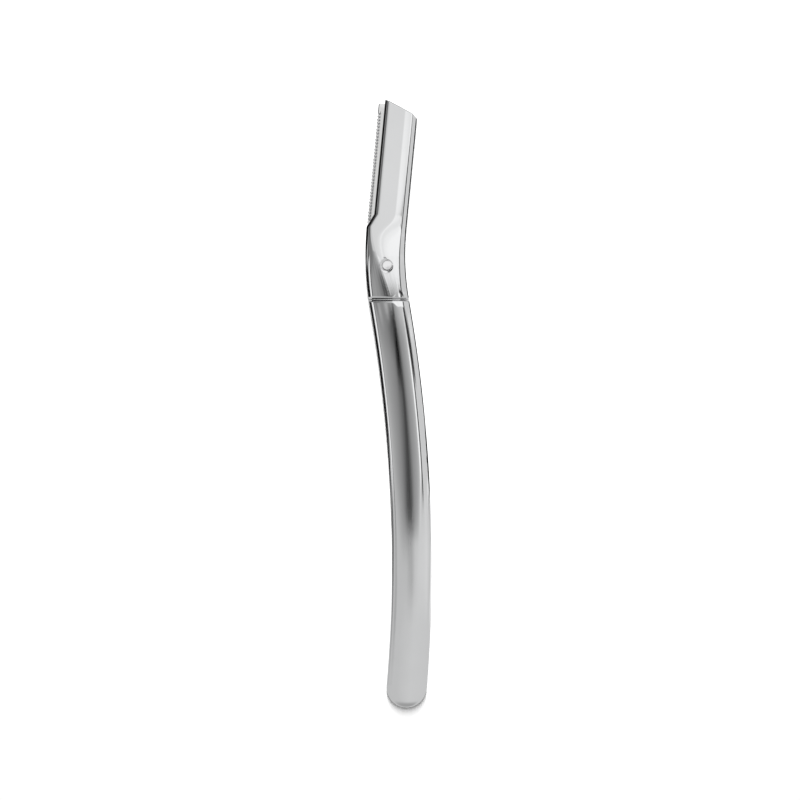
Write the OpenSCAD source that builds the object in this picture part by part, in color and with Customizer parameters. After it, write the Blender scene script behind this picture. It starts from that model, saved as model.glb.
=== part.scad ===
// Eyebrow razor with a replaceable comb-guarded blade, lying on its flat back.
// The origin is on the back, at the middle of the handle's sideways bow. The head points to +Y.

/* [Handle] */
// Width of the handle and of the neck
bar_w = 9.6; // [9:0.05:10.5]
// Thickness of the bar at the seam
bar_t = 5.3; // [5.1:0.1:6.2]
// Length from the seam to the handle's round end
handle_l = 98; // [85:1:115]
// Radius of the handle's sideways bow
bow_r = 365; // [300:5:500]
// Distance along Y from the seam to the middle of the bow
bow_y = 63; // [50:1:70]
// Thickness of the handle at its round end
end_t = 4.4; // [4:0.1:5]
// Height of the side wall at the round end
end_wall = 2.2; // [1.8:0.1:2.6]
// Radius of the edges of the back
back_r = 0.9; // [0.5:0.1:1.1]
// Width of the bevel on the left side of the bar
bevel_left_w = 0.9; // [0.6:0.1:1.2]
// Width of the bevel on the right side of the bar
bevel_right_w = 1.6; // [1:0.1:1.8]
// Height of the bevels
bevel_h = 0.9; // [0.5:0.1:1.2]
// Fall of the face from its ridge to the left, in degrees
left_fall = 10; // [6:1:12]
// Fall of the face from its ridge to the right, in degrees
right_fall = 5; // [2:1:7]

/* [Seam] */
// Width of the groove between neck and handle
groove_w = 0.7; // [0.5:0.1:1]
// Depth of the groove down to the hub of the collar
groove_d = 0.8; // [0.6:0.1:1]
// Thickness of the collar's rim
rim_t = 0.3; // [0.2:0.05:0.4]
// Inset of the collar's rim from the surface of the bar
rim_inset = 0.2; // [0.1:0.05:0.4]
// Chamfer around both sides of the groove
seam_chamfer = 0.2; // [0.1:0.05:0.3]

/* [Head] */
// Lean of the plate to the right, in degrees
head_tilt = 5.5; // [4:0.5:7]
// Width of the plate
plate_w = 8.05; // [7.8:0.05:8.6]
// Thickness of the plate
plate_t = 4; // [3.9:0.1:4.6]
// Distance from the seam to the neck's waist
waist_y = 11; // [10:0.5:12]
// Sideways offset of the waist to the left
waist_shift = 0.85; // [0.6:0.05:1.2]
// Distance from the seam to the notch between neck and plate
notch_y = 20.5; // [20:0.1:22]
// Slant of the shoulder below the notch, in degrees
shoulder_slant = 32; // [25:1:40]
// Length of the plate's left edge from the notch to the tip
plate_l = 27.7; // [25:0.1:32]
// Rake of the tip, in degrees
tip_rake = 21; // [10:1:30]
// Size of the cut corner at the tip
tip_corner = 1.05; // [0.6:0.05:1.4]
// Width of the bevel along the plate's left edge
plate_bevel_left_w = 0.72; // [0.5:0.02:0.9]
// Width of the bevel along the plate's right edge
plate_bevel_right_w = 1.08; // [0.8:0.02:1.2]
// Distance from the right edge to the line where the flat of the plate ends
band_w = 2.9; // [2.4:0.1:3.2]
// Fall of the band between that line and the right bevel, in degrees
band_fall = 4; // [2:1:6]
// Thickness of the back cover
cover_t = 1.2; // [1.1:0.05:1.3]

/* [Blade] */
// Gap along the left edge from the plate's tip to the blade's end
tip_gap = 0.95; // [0.6:0.05:1.5]
// How far the blade reaches below the notch
blade_seat = 2.1; // [1.6:0.1:2.3]
// Thickness of the blade
blade_t = 0.25; // [0.2:0.05:0.3]
// Width of the ground edge
grind_w = 0.6; // [0.4:0.1:0.8]
// How much shorter the blade is than its guard, at the tip
blade_inset = 0.15; // [0.1:0.05:0.3]
// How far the guard stands out of the plate's left edge
guard_out = 1.5; // [1.2:0.01:1.6]
// Thickness of the guard's sheet
guard_t = 0.15; // [0.1:0.05:0.2]
// Distance from the guard's outer fold to the cutting edge
edge_back = 0.3; // [0.25:0.05:0.4]
// Pitch of the guard's slots
slot_pitch = 0.8; // [0.7:0.05:1]
// Width of the guard's slots
slot_w = 0.36; // [0.3:0.02:0.4]
// Reach of the guard's slots from its outer fold
slot_reach = 0.75; // [0.6:0.05:0.9]
// Slant of the slots, in degrees
slot_slant = 28; // [10:1:35]
// Length of the plain end of the guard, at the tip
plain_l = 2.15; // [1.5:0.05:3]
// Corner radius of the guard's free end
guard_corner = 0.5; // [0.3:0.05:0.6]
// Width of the spine
spine_w = 2.3; // [2.1:0.05:2.4]
// Thickness of the spine
spine_t = 1; // [0.9:0.02:1.1]
// Depth of the groove that holds the blade in the spine
spine_groove = 1.6; // [1.2:0.1:1.8]
// Radius of the rivets through spine and blade
rivet_r = 0.35; // [0.25:0.05:0.4]
// Distance of the rivets from the ends of the spine
rivet_end = 4; // [3:0.5:8]

/* [Button and lever] */
// Distance from the seam to the button
button_y = 8.1; // [7.9:0.1:8.4]
// Sideways place of the button, from the seam's centre
button_x = -0.4; // [-0.6:0.1:-0.2]
// Radius of the button
button_r = 1.25; // [1.1:0.05:1.3]
// Radius of the countersink around the button
sink_r = 1.63; // [1.5:0.01:1.8]
// Depth of the button's top below the face
button_recess = 0.3; // [0.2:0.05:0.4]
// Travel of the button
button_travel = 0.4; // [0.3:0.05:0.4]
// How far the button's flange is wider than the button
flange_lip = 0.35; // [0.25:0.05:0.4]
// Thickness of the flange
flange_t = 0.35; // [0.3:0.05:0.4]
// Radius of the stem that meets the lever
stem_r = 0.5; // [0.3:0.05:0.5]
// Thickness of the face over the button's pocket
pocket_skin = 1.2; // [1:0.05:1.2]
// Distance from the button to the lever's pivot
lever_arm = 5.5; // [5.3:0.1:5.8]
// How far the lever reaches past the button
lever_tail = 1.5; // [1.2:0.1:1.6]
// Width of the lever
lever_w = 2.2; // [2:0.1:2.3]
// Thickness of the lever
lever_t = 0.7; // [0.6:0.05:0.75]
// Height of the pad that pinches the spine
pad_h = 0.25; // [0.2:0.05:0.3]
// Length of the pad
pad_l = 2.3; // [1.8:0.1:2.4]
// Thickness of the lever's end, pad included
pad_tip_t = 0.68; // [0.6:0.02:0.7]
// Wall of the lever around its pin
boss_wall = 0.45; // [0.35:0.05:0.5]
// Radius of the pivot pin
pin_r = 0.5; // [0.4:0.05:0.5]
// How far the pivot pin reaches into the left cheek of the neck
pin_seat = 1.6; // [1.2:0.1:2]
// Recess of the pivot pin's outer end
pin_recess = 0.15; // [0.05:0.05:0.3]
// Thickness of the leaf spring
leaf_t = 0.2; // [0.15:0.05:0.25]
// Width of the leaf spring
leaf_w = 1.8; // [1.4:0.1:2]
// Inner radius of the leaf spring's bend
leaf_bend_r = 0.15; // [0.1:0.05:0.2]

/* [Joining parts] */
// Width of the tang
tang_w = 4.6; // [4:0.1:5]
// Thickness of the tang
tang_t = 2.4; // [2.1:0.1:2.6]
// Length of the tang inside the handle
tang_down = 16; // [14:0.5:22]
// Length of the tang inside the neck
tang_up = 4.4; // [4.2:0.1:4.6]
// Radius of the dowels that lock the tang
dowel_r = 0.75; // [0.5:0.05:0.9]
// How far the dowels reach past the tang
dowel_in = 0.7; // [0.5:0.1:0.9]
// Radius of the screws' thread
screw_r = 0.7; // [0.6:0.05:0.75]
// Radius of the screws' heads
screw_head_r = 1.2; // [1.1:0.05:1.25]
// Length of the screws
screw_l = 3.1; // [2.9:0.05:3.2]
// Width and depth of the slot in a screw's head
driver_slot = 0.3; // [0.2:0.05:0.35]
// Distance from the waist's left side to the screw beside the lever
neck_screw_in = 2.1; // [1.9:0.05:2.2]

/* [Fits] */
// Play of the spine and the guard in the head's slot, on each side
slide_play = 0.05; // [0.04:0.01:0.08]
// Play of the button in its bore and of the lever on its pin
turn_play = 0.05; // [0.03:0.01:0.06]
// Play around the tang, the dowels, the screws and the rivets
seat_play = 0.03; // [0.02:0.01:0.04]
// Gap between the lever's pad and the spine
clamp_play = 0.02; // [0.01:0.01:0.03]
// Gap between the button's stem and the lever
stem_play = 0.05; // [0.04:0.01:0.06]
// Room beside and beyond the moving lever
lever_room = 0.15; // [0.1:0.01:0.2]

/* [Hidden] */
$fn = 48;
// Overrun of every cut past the face that it opens
over = 2;
// Size of the blocks that trim the head, larger than the head
trim = 90;

// Place of the face's ridge between the bevels: at the seam, on the plate and at the bow
ridge_seam_share = 0.65;
ridge_plate_share = 0.06;
ridge_bow_share = 0.5;
// How much of the ridge's move across the neck eases in and out
ridge_ease_share = 0.7;
// Roundness of the face at the seam: 0 is a sharp ridge and 1 a smooth crown
crown_seam_share = 0.35;
// Where the bevels start and end fading into a plain dome, along the handle
fade_shares = [0.4, 0.82];
// Where the face starts to fall from the neck to the plate, on the way to the notch
fall_start_share = 0.51;
// Place of the spine's right side across the plate, from the left edge
spine_side_share = 0.51;
// Places of the dowels along the tang, and of the cover's screws along the plate
dowel_shares = [0.3, 0.75];
plate_screw_shares = [0.04, 0.76];
// Length of the leaf spring's upper leg, as a share of the lower one
leaf_reach_share = 0.95;
// Steps between the rings of the handle and the head, and around the round end
handle_steps = 30;
neck_steps = 20;
end_steps = 10;
// How far the rings go round the end, in degrees, before a small flat closes it
end_sweep = 89;
// Points of a ring across one side of the face, and around one edge of the back
face_steps = 4;
edge_steps = 4;

// Handle, seen from the front: arcs around [-bow_r, 0] and a round end
half_w = bar_w / 2;
seam = [sqrt(pow(bow_r, 2) - pow(bow_y, 2)) - bow_r, bow_y];
seam_lean = asin(bow_y / bow_r);
seam_half = half_w / cos(seam_lean);
end_lean = asin((handle_l - half_w - bow_y) / bow_r);
// The last ring of the handle that is square to the bow, clear of the level end at the seam
top_lean = asin((bow_y - groove_w - half_w * sin(seam_lean) - seam_chamfer) / bow_r);

// Neck, measured from the seam's centre: two arcs that meet the handle's sides at the seam
waist_left = -waist_shift - half_w;
waist_right = half_w - waist_shift;
left_in = -waist_left - seam_half;
right_in = seam_half - waist_right;
left_r = (pow(waist_y, 2) + pow(left_in, 2)) / (2 * left_in);
right_r = (pow(waist_y, 2) + pow(right_in, 2)) / (2 * right_in);

// Plate: its frame starts beside the point where the right arc turns straight, u across, v along
turn = [waist_right + right_r * (1 - cos(head_tilt)), waist_y + right_r * sin(head_tilt)];
foot = turn + plate_w * [-cos(head_tilt), sin(head_tilt)];
notch_v = (notch_y - foot.y) / cos(head_tilt);
notch_x = foot.x + notch_v * sin(head_tilt);
shoulder_y = shoulder_foot(notch_y, neck_steps);
tip_v = notch_v + plate_l;

// Blade, guard and spine in the plate's frame
blade_v = notch_v - blade_seat;
blade_end_v = tip_v - tip_gap;
guard_h = blade_t + 2 * guard_t;
guard_u = -guard_out;
edge_u = guard_u + edge_back;
spine_u = plate_w * spine_side_share;
spine_in = spine_u - spine_w;
blade_u = spine_in + spine_groove;
blade_z = cover_t + slide_play + spine_t / 2;
spine_top = blade_z + spine_t / 2;
slot_count = floor((blade_end_v - blade_v - plain_l) / slot_pitch);

// Lever, button and spring, measured from the seam's centre
pivot_y = button_y + lever_arm;
lever_y = button_y - lever_tail;
lever_bottom = spine_top + clamp_play + pad_h;
lever_top = lever_bottom + lever_t;
pivot_z = (lever_bottom + lever_top) / 2;
boss_r = pin_r + turn_play + boss_wall;
pad_y = foot.y - (button_x - foot.x) * tan(head_tilt) + blade_v / cos(head_tilt) + lever_room;
lever_end = pad_y + pad_l;
lever_bend = (pivot_y + boss_r + pad_y) / 2;
pad_tip_z = spine_top + clamp_play + pad_tip_t;
rock = button_travel / lever_arm;
pocket_top = bar_t - pocket_skin;
low_pocket_top = max(lever_top + rock * (lever_bend - pivot_y), pad_tip_z + rock * (lever_end - pivot_y))
    + lever_room;
pocket_half = lever_w / 2 + lever_room;
flange_r = button_r + flange_lip;
flange_z = pocket_top - stem_play - flange_t;
button_face = head_face(button_x, button_y);
button_top = button_face - button_recess;
leaf_z = cover_t - leaf_t;
leaf_end = pivot_y - boss_r - leaf_bend_r - leaf_t;

tang_z = cover_t + seat_play;
dowel_top = tang_z + tang_t + dowel_in;

function mix(a, b, t) = a + (b - a) * t;
function ease(t) = let (s = min(max(t, 0), 1)) s * s * (3 - 2 * s);
function root(q) = sqrt(max(q, 0));

// Outline of the head at a distance y from the seam
function left_arc(y) = waist_left + left_r - sqrt(pow(left_r, 2) - pow(y - waist_y, 2));
function right_arc(y) = waist_right + right_r - sqrt(pow(right_r, 2) - pow(y - waist_y, 2));
function shoulder_foot(y, n) =
    n == 0 ? y : shoulder_foot(notch_y - (notch_x - left_arc(y)) / tan(shoulder_slant), n - 1);
function left_edge(y) =
    y >= notch_y ? notch_x + (y - notch_y) * tan(head_tilt)
    : y > shoulder_y ? notch_x - (notch_y - y) * tan(shoulder_slant)
    : left_arc(y);
function right_edge(y) = y < turn.y ? right_arc(y) : turn.x + (y - turn.y) * tan(head_tilt);

// Heights and slopes of the head's face at a distance y from the seam
function head_fall(y) = ease((y / notch_y - fall_start_share) / (1 - fall_start_share));
function head_top(y) = mix(bar_t, plate_t, head_fall(y));
function head_bevels(y) = [
    mix(bevel_left_w, plate_bevel_left_w, head_fall(y)),
    mix(bevel_right_w, plate_bevel_right_w, ease(y / notch_y))];
function head_ridge(y) = let (t = min(y / shoulder_y, 1))
    mix(ridge_seam_share, ridge_plate_share, mix(t, ease(t), ridge_ease_share));
function head_slopes(y) = (1 - head_fall(y)) * [tan(left_fall), tan(right_fall)];

// Places across the section: left bevel line, ridge, band line, right bevel line
function lines(edges, bevels, ridge) =
    let (a = edges[0] + bevels[0], b = edges[1] - bevels[1])
    [a, mix(a, b, ridge), edges[1] - band_w, b];

// Height of the face at x, for the lines, top height, slopes, crown and band slope of a section
function face_at(x, at, top, slopes, crown, band) =
    x < at[1]
    ? let (d = at[1] - x) top - slopes[0] * d * mix(1, d / (at[1] - at[0]), crown)
    : let (d = x - at[1]) top - slopes[1] * d * mix(1, d / (at[3] - at[1]), crown)
        - band * max(x - at[2], 0);
function head_lines(y) = lines([left_edge(y), right_edge(y)], head_bevels(y), head_ridge(y));
function head_face(x, y) =
    face_at(x, head_lines(y), head_top(y), head_slopes(y), crown_seam_share, tan(band_fall));

// Closed section as [x, z] points: left edge of the back, left wall, face, right wall, right edge
function section(edges, at, top, slopes, crown, band, fade) =
    let (
        mid = (edges[0] + edges[1]) / 2,
        half = (edges[1] - edges[0]) / 2,
        across = concat(
            [for (i = [0:face_steps]) mix(at[0], at[1], i / face_steps)],
            [for (i = [1:face_steps]) mix(at[1], at[2], i / face_steps)],
            [mix(at[2], at[3], 0.5), at[3]]),
        face = [for (x = across) [x, face_at(x, at, top, slopes, crown, band)]],
        walls = [
            [edges[0], face[0][1] - bevel_h],
            [edges[1], face[len(face) - 1][1] - bevel_h]],
        upper = concat([walls[0]], face, [walls[1]]))
    concat(
        [for (a = [0:90 / edge_steps:90])
            [edges[0] + back_r * (1 - sin(a)), back_r * (1 - cos(a))]],
        [for (p = upper) [p.x, mix(p[1], dome(p.x - mid, 0, half, top), fade)]],
        [for (a = [90:-90 / edge_steps:0])
            [edges[1] - back_r * (1 - sin(a)), back_r * (1 - cos(a))]]);
function dome(across, along, half, top) =
    end_wall + (top - end_wall) * root(1 - (pow(across, 2) + pow(along, 2)) / pow(half, 2));
function inset(points, d) =
    let (
        x0 = min([for (p = points) p.x]),
        x1 = max([for (p = points) p.x]),
        z1 = max([for (p = points) p[1]]),
        mid = (x0 + x1) / 2)
    [for (p = points)
        [mid + (p.x - mid) * (1 - 2 * d / (x1 - x0)), d + p[1] * (1 - 2 * d / z1)]];

// Sections of the head and of the handle
function head_section(y) =
    section([left_edge(y), right_edge(y)], head_lines(y), head_top(y), head_slopes(y),
        crown_seam_share, tan(band_fall), 0);
function handle_section(s, half) =
    let (
        edges = [-half, half],
        bow = min(s * (handle_l - half_w) / bow_y, 1),
        at = lines(edges, [bevel_left_w, bevel_right_w], mix(ridge_seam_share, ridge_bow_share, bow)))
    section(edges, at, mix(bar_t, end_t, ease(s)), [tan(left_fall), tan(right_fall)],
        mix(crown_seam_share, 1, bow), tan(band_fall) * (1 - bow),
        ease((s - fade_shares[0]) / (fade_shares[1] - fade_shares[0])));
function end_section(q) =
    let (
        flat = handle_section(1, half_w),
        n = edge_steps + 1,
        last = len(flat) - 1,
        chord = half_w * root(1 - q * q),
        along = half_w * q)
    [for (i = [0:last])
        let (
            across = flat[i].x / half_w * chord,
            depth = max(half_w - sqrt(across * across + along * along), 0))
        [across, i < n || i > last - n
            ? (depth < back_r ? back_r - root(pow(back_r, 2) - pow(back_r - depth, 2)) : 0)
            : dome(across, along, half_w, end_t)]];

// Rings in space: level across the bar at y, or square to the bow at an angle and moved along it
function level_ring(points, x, y) = [for (p = points) [x + p.x, y, p[1]]];
function bow_ring(points, lean, along) = [for (p = points)
    [(bow_r + p.x) * cos(lean) - along * sin(lean) - bow_r,
        (bow_r + p.x) * sin(lean) + along * cos(lean), p[1]]];

module skin(rings) {
    n = len(rings[0]);
    m = len(rings);
    polyhedron(
        points = [for (ring = rings) for (p = ring) p],
        faces = concat(
            [for (i = [0:m - 2]) for (j = [0:n - 1]) for (half = [0, 1])
                let (a = i * n + j, b = i * n + (j + 1) % n)
                half == 0 ? [a, b + n, b] : [a, a + n, b + n]],
            [[for (j = [0:n - 1]) j]],
            [[for (j = [n - 1:-1:0]) (m - 1) * n + j]]));
}

module at_seam() {
    translate([seam.x, seam.y, 0]) children();
}

module on_plate() {
    at_seam() translate([foot.x, foot.y, 0]) rotate([0, 0, -head_tilt]) children();
}

module along_tang() {
    at_seam() rotate([0, 0, seam_lean]) children();
}

// A box between two corners
module box(low, high) {
    translate(low) cube(high - low);
}

// Straight hole or shaft along Z
module rod(r, z0, z1) {
    translate([0, 0, z0]) cylinder(r = r, h = z1 - z0);
}

// Profile in [u, z] run along v
module run(v0, v1) {
    translate([0, v1, 0]) rotate([90, 0, 0]) linear_extrude(v1 - v0) children();
}

// Everything past the raked tip, moved down the plate by a gap
module past_tip(gap) {
    far = trim / 2;
    linear_extrude(trim, center = true) polygon([
        [-far, tip_v - gap + far * tan(tip_rake)],
        [plate_w - tip_corner, tip_v - gap - (plate_w - tip_corner) * tan(tip_rake)],
        [plate_w - tip_corner + far, tip_v - gap - (plate_w - tip_corner) * tan(tip_rake) - far],
        [far + plate_w, tip_v + far],
        [-far, tip_v + far]]);
}

// Whole outer form of the head, front and back together
module head_form() {
    gap = groove_w / 2;
    head_end = notch_y + plate_l + half_w;
    ys = concat(
        [gap + seam_chamfer],
        [for (i = [1:neck_steps]) mix(gap + seam_chamfer, shoulder_y, i / neck_steps)],
        [mix(shoulder_y, notch_y, 0.5), notch_y, head_end]);
    difference() {
        at_seam() skin(concat(
            [level_ring(inset(head_section(gap), seam_chamfer), 0, gap)],
            [for (y = ys) level_ring(head_section(y), 0, y)]));
        on_plate() past_tip(0);
    }
}

module handle() {
    top_y = bow_y - groove_w / 2;
    bar_l = handle_l - half_w;
    level = handle_section(0, seam_half);
    color("gainsboro") difference() {
        skin(concat(
            [for (i = [end_steps:-1:1]) let (q = sin(end_sweep * i / end_steps))
                bow_ring(end_section(q), -end_lean, -half_w * q)],
            [for (i = [0:handle_steps]) let (lean = mix(-end_lean, top_lean, i / handle_steps))
                bow_ring(handle_section((bow_y - bow_r * sin(lean)) / bar_l, half_w), lean, 0)],
            [level_ring(level, seam.x, top_y - seam_chamfer),
                level_ring(inset(level, seam_chamfer), seam.x, top_y)]));
        along_tang() box(
            [-tang_w / 2 - seat_play, -tang_down - seat_play, cover_t],
            [tang_w / 2 + seat_play, over, tang_z + tang_t + seat_play]);
        dowels(seat_play, -over, seat_play);
    }
}

// Dowels that lock the tang, or their bores
module dowels(play, bottom, above) {
    along_tang() for (share = dowel_shares)
        translate([0, -tang_down * share, 0]) rod(dowel_r + play, bottom, dowel_top + above);
}

module seam_collar() {
    color("silver") difference() {
        at_seam() union() {
            ring_slab(groove_w, groove_d);
            ring_slab(rim_t, rim_inset);
        }
        along_tang() box(
            [-tang_w / 2 - seat_play, -over, tang_z - seat_play],
            [tang_w / 2 + seat_play, over, tang_z + tang_t + seat_play]);
    }
}

// Slice of the bar at the seam, of one thickness and inset
module ring_slab(thick, d) {
    rotate([90, 0, 0]) linear_extrude(thick, center = true)
        polygon(inset(handle_section(0, seam_half), d));
}

module tang() {
    color("darkgray") difference() {
        along_tang() box([-tang_w / 2, -tang_down, tang_z], [tang_w / 2, tang_up, tang_z + tang_t]);
        dowels(seat_play, -over, seat_play);
        screw_places() rod(screw_r + seat_play, -over, bar_t);
    }
}

module tang_pins() {
    color("dimgray") dowels(0, seat_play, 0);
}

// Where the cover's screws stand: in the tang, beside the lever and along the plate
module screw_places() {
    along_tang() translate([0, (groove_w / 2 + tang_up) / 2, 0]) children();
    at_seam() translate([waist_left + neck_screw_in, waist_y, 0]) children();
    on_plate() for (share = plate_screw_shares)
        translate([(spine_u + plate_w) / 2, notch_v + plate_l * share, 0]) children();
}

// Countersunk screw or its hole, widened by the play
module screw_shape(play, length) {
    sink = screw_head_r - screw_r;
    rod(screw_r + play, seat_play, length);
    translate([0, 0, seat_play - play])
        cylinder(r1 = screw_head_r + play, r2 = screw_r + play, h = sink);
}

module head_screws() {
    color("darkgray") difference() {
        screw_places() screw_shape(0, screw_l);
        screw_places() box(
            [-screw_head_r - over, -driver_slot / 2, -over],
            [screw_head_r + over, driver_slot / 2, seat_play + driver_slot]);
    }
}

module head_front() {
    color("gainsboro") difference() {
        head_form();
        at_seam() box([-trim / 2, -over, -over], [trim / 2, trim, cover_t]);
        blade_slot();
        lever_pocket();
        button_bore();
        along_tang() box(
            [-tang_w / 2 - seat_play, -over, cover_t - over],
            [tang_w / 2 + seat_play, tang_up + seat_play, tang_z + tang_t + seat_play]);
        pivot_bore();
        screw_places() rod(screw_r + seat_play, cover_t - over, screw_l + seat_play);
    }
}

// T-shaped slot: narrow beside the guard, high beside the spine
module blade_slot() {
    v0 = blade_v - seat_play;
    v1 = tip_v + plate_w;
    on_plate() {
        box([guard_u - over, v0, cover_t - over],
            [spine_in, v1, blade_z + guard_h / 2 + slide_play]);
        box([spine_in - slide_play, v0, cover_t - over],
            [spine_u + slide_play, v1, spine_top + slide_play]);
    }
}

module lever_pocket() {
    at_seam() translate([button_x, 0, 0]) {
        box([-pocket_half, lever_y - lever_room, cover_t - over],
            [pocket_half, pivot_y + boss_r + lever_room, pocket_top]);
        box([-pocket_half, pivot_y, cover_t - over],
            [pocket_half, lever_end + lever_room, low_pocket_top]);
    }
}

module button_bore() {
    bore = button_r + turn_play;
    at_seam() translate([button_x, button_y, 0]) {
        rod(flange_r + lever_room, cover_t - over, pocket_top);
        rod(bore, cover_t, bar_t + over);
        translate([0, 0, button_top]) cylinder(
            r1 = bore, r2 = bore + (sink_r - bore) * over / button_recess, h = over);
    }
}

// Cross bore for the pivot pin, open at the right side of the neck
module pivot_bore() {
    at_seam() translate([button_x - pocket_half - pin_seat - seat_play, pivot_y, pivot_z])
        rotate([0, 90, 0]) rod(pin_r + seat_play, 0, bar_w + over);
}

module head_back() {
    color("gainsboro") difference() {
        intersection() {
            head_form();
            union() {
                at_seam() box([-trim / 2, -over, -over], [trim / 2, trim, cover_t]);
                on_plate() box(
                    [guard_u - over, blade_v, cover_t - over],
                    [spine_in - slide_play, trim, blade_z - guard_h / 2 - slide_play]);
            }
        }
        screw_places() screw_shape(seat_play, bar_t);
        screw_places() rod(screw_head_r + seat_play, -over, seat_play);
        at_seam() translate([button_x, 0, 0]) box(
            [-leaf_w / 2 - seat_play, lever_y - seat_play, leaf_z],
            [leaf_w / 2 + seat_play, leaf_end + leaf_bend_r + leaf_t + seat_play, cover_t + over]);
    }
}

module release_button() {
    color("gainsboro") at_seam() translate([button_x, button_y, 0]) {
        rod(button_r, flange_z, button_top);
        rod(flange_r, flange_z, flange_z + flange_t);
        rod(stem_r, lever_top + stem_play, flange_z + flange_t);
    }
}

module clamp_lever() {
    color("darkgray") at_seam() translate([button_x, 0, 0]) difference() {
        union() {
            rotate([90, 0, 90]) linear_extrude(lever_w, center = true) polygon([
                [lever_y, lever_bottom],
                [pad_y, lever_bottom],
                [pad_y, lever_bottom - pad_h],
                [lever_end, lever_bottom - pad_h],
                [lever_end, pad_tip_z],
                [lever_bend, lever_top],
                [lever_y, lever_top]]);
            translate([-lever_w / 2, pivot_y, pivot_z]) rotate([0, 90, 0]) rod(boss_r, 0, lever_w);
        }
        translate([-lever_w / 2 - over, pivot_y, pivot_z])
            rotate([0, 90, 0]) rod(pin_r + turn_play, 0, lever_w + 2 * over);
    }
}

module lever_pin() {
    x0 = button_x - pocket_half - pin_seat;
    color("dimgray") at_seam() translate([x0, pivot_y, pivot_z])
        rotate([0, 90, 0]) rod(pin_r, 0, right_edge(pivot_y) - pin_recess - x0);
}

// Folded leaf: the lower leg lies in the cover, the upper leg lifts the lever's tail
module lever_spring() {
    outer = leaf_bend_r + leaf_t;
    rise = lever_bottom - leaf_z - 2 * outer - stem_play;
    reach = leaf_end - lever_y;
    slope = atan(rise / reach);
    upper = reach / cos(slope) * leaf_reach_share;
    color("gray") at_seam() translate([button_x, 0, 0])
        rotate([90, 0, 90]) linear_extrude(leaf_w, center = true) {
            translate([lever_y, leaf_z]) square([reach, leaf_t]);
            translate([leaf_end, leaf_z + outer]) {
                intersection() {
                    difference() {
                        circle(outer);
                        circle(leaf_bend_r);
                    }
                    polygon([
                        [0, 0],
                        [0, -over],
                        [over, -over],
                        [over, over],
                        [over * sin(slope), over * cos(slope)]]);
                }
                rotate(-slope) translate([-upper, leaf_bend_r]) square([upper, leaf_t]);
            }
        }
}

module blade() {
    color("silver") difference() {
        on_plate() run(blade_v, blade_end_v - blade_inset) translate([0, blade_z]) polygon([
            [edge_u, 0],
            [edge_u + grind_w, blade_t / 2],
            [blade_u, blade_t / 2],
            [blade_u, -blade_t / 2],
            [edge_u + grind_w, -blade_t / 2]]);
        on_plate() past_tip(tip_gap + blade_inset);
        rivets(seat_play);
    }
}

module comb_guard() {
    nose = guard_h / 2;
    color("silver") on_plate() difference() {
        run(blade_v, blade_end_v) translate([0, blade_z]) difference() {
            union() {
                translate([guard_u + nose, 0]) circle(nose);
                translate([guard_u + nose, -nose]) square([spine_in - guard_u - nose, guard_h]);
            }
            translate([guard_u + guard_t, -blade_t / 2]) square([spine_in - guard_u, blade_t]);
        }
        for (i = [0:slot_count - 1]) translate([guard_u, blade_v + slot_pitch * (i + 0.5), blade_z])
            rotate([0, 0, slot_slant]) box(
                [-over, -slot_w / 2, -guard_h],
                [slot_reach / cos(slot_slant), slot_w / 2, guard_h]);
        translate([guard_u, blade_end_v, 0]) linear_extrude(trim, center = true) difference() {
            translate([-over, -guard_corner]) square([guard_corner + over, guard_corner + over]);
            translate([guard_corner, -guard_corner]) circle(guard_corner);
        }
        past_tip(tip_gap);
    }
}

module blade_spine() {
    color("darkgray") difference() {
        on_plate() difference() {
            box([spine_in, blade_v, blade_z - spine_t / 2], [spine_u, blade_end_v, spine_top]);
            box([spine_in - over, blade_v - over, blade_z - blade_t / 2],
                [blade_u, blade_end_v + over, blade_z + blade_t / 2]);
            past_tip(tip_gap);
        }
        rivets(seat_play);
    }
}

// Rivets through spine and blade, or their bores
module rivets(play) {
    reach = play > 0 ? over : 0;
    on_plate() for (v = [blade_v + rivet_end, blade_end_v - rivet_end])
        translate([(spine_in + blade_u) / 2, v, 0])
            rod(rivet_r + play, blade_z - spine_t / 2 - reach, spine_top + reach);
}

module spine_rivets() {
    color("dimgray") rivets(0);
}

handle();
seam_collar();
tang();
tang_pins();
head_front();
head_back();
head_screws();
release_button();
clamp_lever();
lever_pin();
lever_spring();
blade();
comb_guard();
blade_spine();
spine_rivets();
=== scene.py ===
"""Looks of a polished eyebrow razor that lies on its flat back, seen square from the front."""

import math

import bmesh
import bpy
from mathutils import Matrix, Vector


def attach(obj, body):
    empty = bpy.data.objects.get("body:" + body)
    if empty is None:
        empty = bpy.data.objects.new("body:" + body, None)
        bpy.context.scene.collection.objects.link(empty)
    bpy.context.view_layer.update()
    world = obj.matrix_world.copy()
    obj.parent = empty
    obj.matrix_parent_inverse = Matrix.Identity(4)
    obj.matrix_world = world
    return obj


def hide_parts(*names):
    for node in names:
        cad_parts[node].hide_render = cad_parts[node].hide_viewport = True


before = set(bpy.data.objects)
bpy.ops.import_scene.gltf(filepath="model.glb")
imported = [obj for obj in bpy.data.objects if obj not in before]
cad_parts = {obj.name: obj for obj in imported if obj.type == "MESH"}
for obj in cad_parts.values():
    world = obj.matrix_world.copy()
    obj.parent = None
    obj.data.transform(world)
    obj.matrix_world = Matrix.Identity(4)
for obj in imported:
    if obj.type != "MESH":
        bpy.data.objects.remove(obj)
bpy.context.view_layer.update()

MM = 0.001   # a millimetre, in metres

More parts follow.
